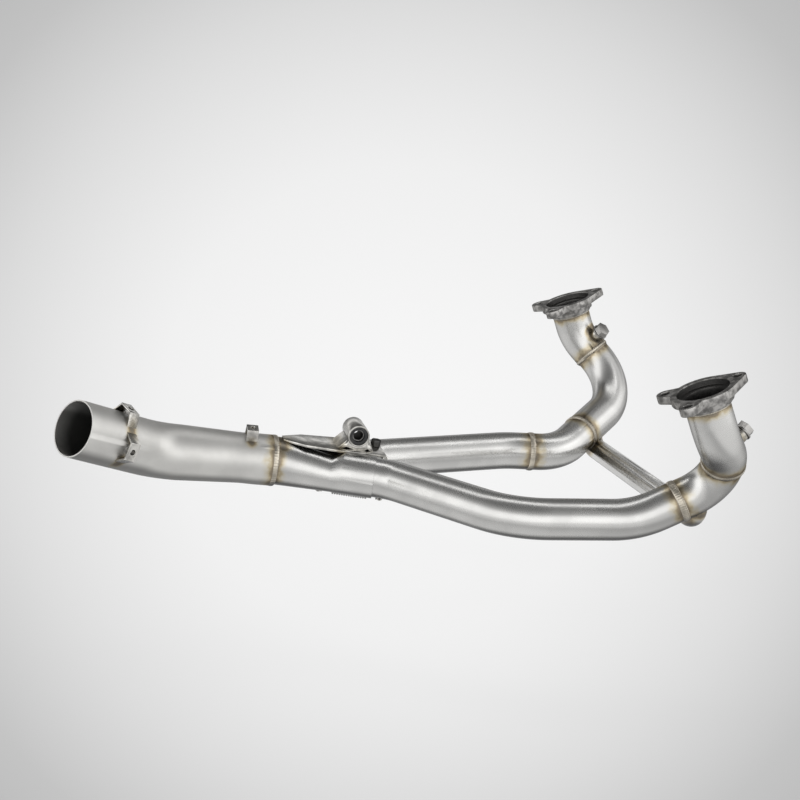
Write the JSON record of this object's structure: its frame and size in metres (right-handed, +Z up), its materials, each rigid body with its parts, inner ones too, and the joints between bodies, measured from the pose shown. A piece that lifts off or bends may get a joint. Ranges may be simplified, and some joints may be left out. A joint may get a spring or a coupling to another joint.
{
  "type": "motorcycle exhaust header",
  "caption": "Two-into-one stainless exhaust header for a flat-twin motorcycle, with flanged inlets, a slip-jointed merge, a crossover tube and a rubber hanger.",
  "frame": {"origin": "middle of the rubber hanger bush", "axes": "+X forwards along the motorcycle, +Y to its left along the hanger bush, +Z up"},
  "size_m": [0.7243, 0.5252, 0.1976],
  "materials": {
    "stainless_tube": "satin stainless steel with straw heat tint at the welds",
    "flange_steel": "dull, slightly mottled machined steel",
    "stainless_sheet": "satin stainless sheet",
    "rubber": "matt black rubber",
    "plated_steel": "plated steel",
    "spring_steel": "drawn wire"
  },
  "bodies": {
    "root": {"right_inlet_tube": "stainless_tube", "right_elbow": "stainless_tube", "right_flange": "flange_steel", "right_sensor_boss": "stainless_sheet", "right_sensor_plug": "plated_steel", "left_inlet_tube": "stainless_tube", "left_elbow": "stainless_tube", "left_flange": "flange_steel", "left_sensor_boss": "stainless_sheet", "left_sensor_plug": "plated_steel", "right_header_tube": "stainless_tube", "left_lower_bend": "stainless_tube", "left_header_tube": "stainless_tube", "merge_collector": "stainless_tube", "outlet_pipe": "stainless_tube", "hanger_plate": "stainless_sheet", "hanger_sleeve": "stainless_sheet", "hanger_bush": "rubber", "hanger_spacer": "plated_steel", "hanger_saddle": "stainless_sheet", "plate_nut": "plated_steel", "crossover_tube": "stainless_tube", "shield_bracket_upper": "stainless_sheet", "shield_nut_upper": "plated_steel", "shield_bracket_lower": "stainless_sheet", "shield_nut_lower": "plated_steel", "outlet_tab": "stainless_sheet", "right_lower_spring_front_tab": "stainless_sheet", "right_lower_spring_rear_tab": "stainless_sheet", "right_lower_spring": "spring_steel", "right_upper_spring_front_tab": "stainless_sheet", "right_upper_spring_rear_tab": "stainless_sheet", "right_upper_spring": "spring_steel", "left_lower_spring_front_tab": "stainless_sheet", "left_lower_spring_rear_tab": "stainless_sheet", "left_lower_spring": "spring_steel"}
  },
  "joints": []
}
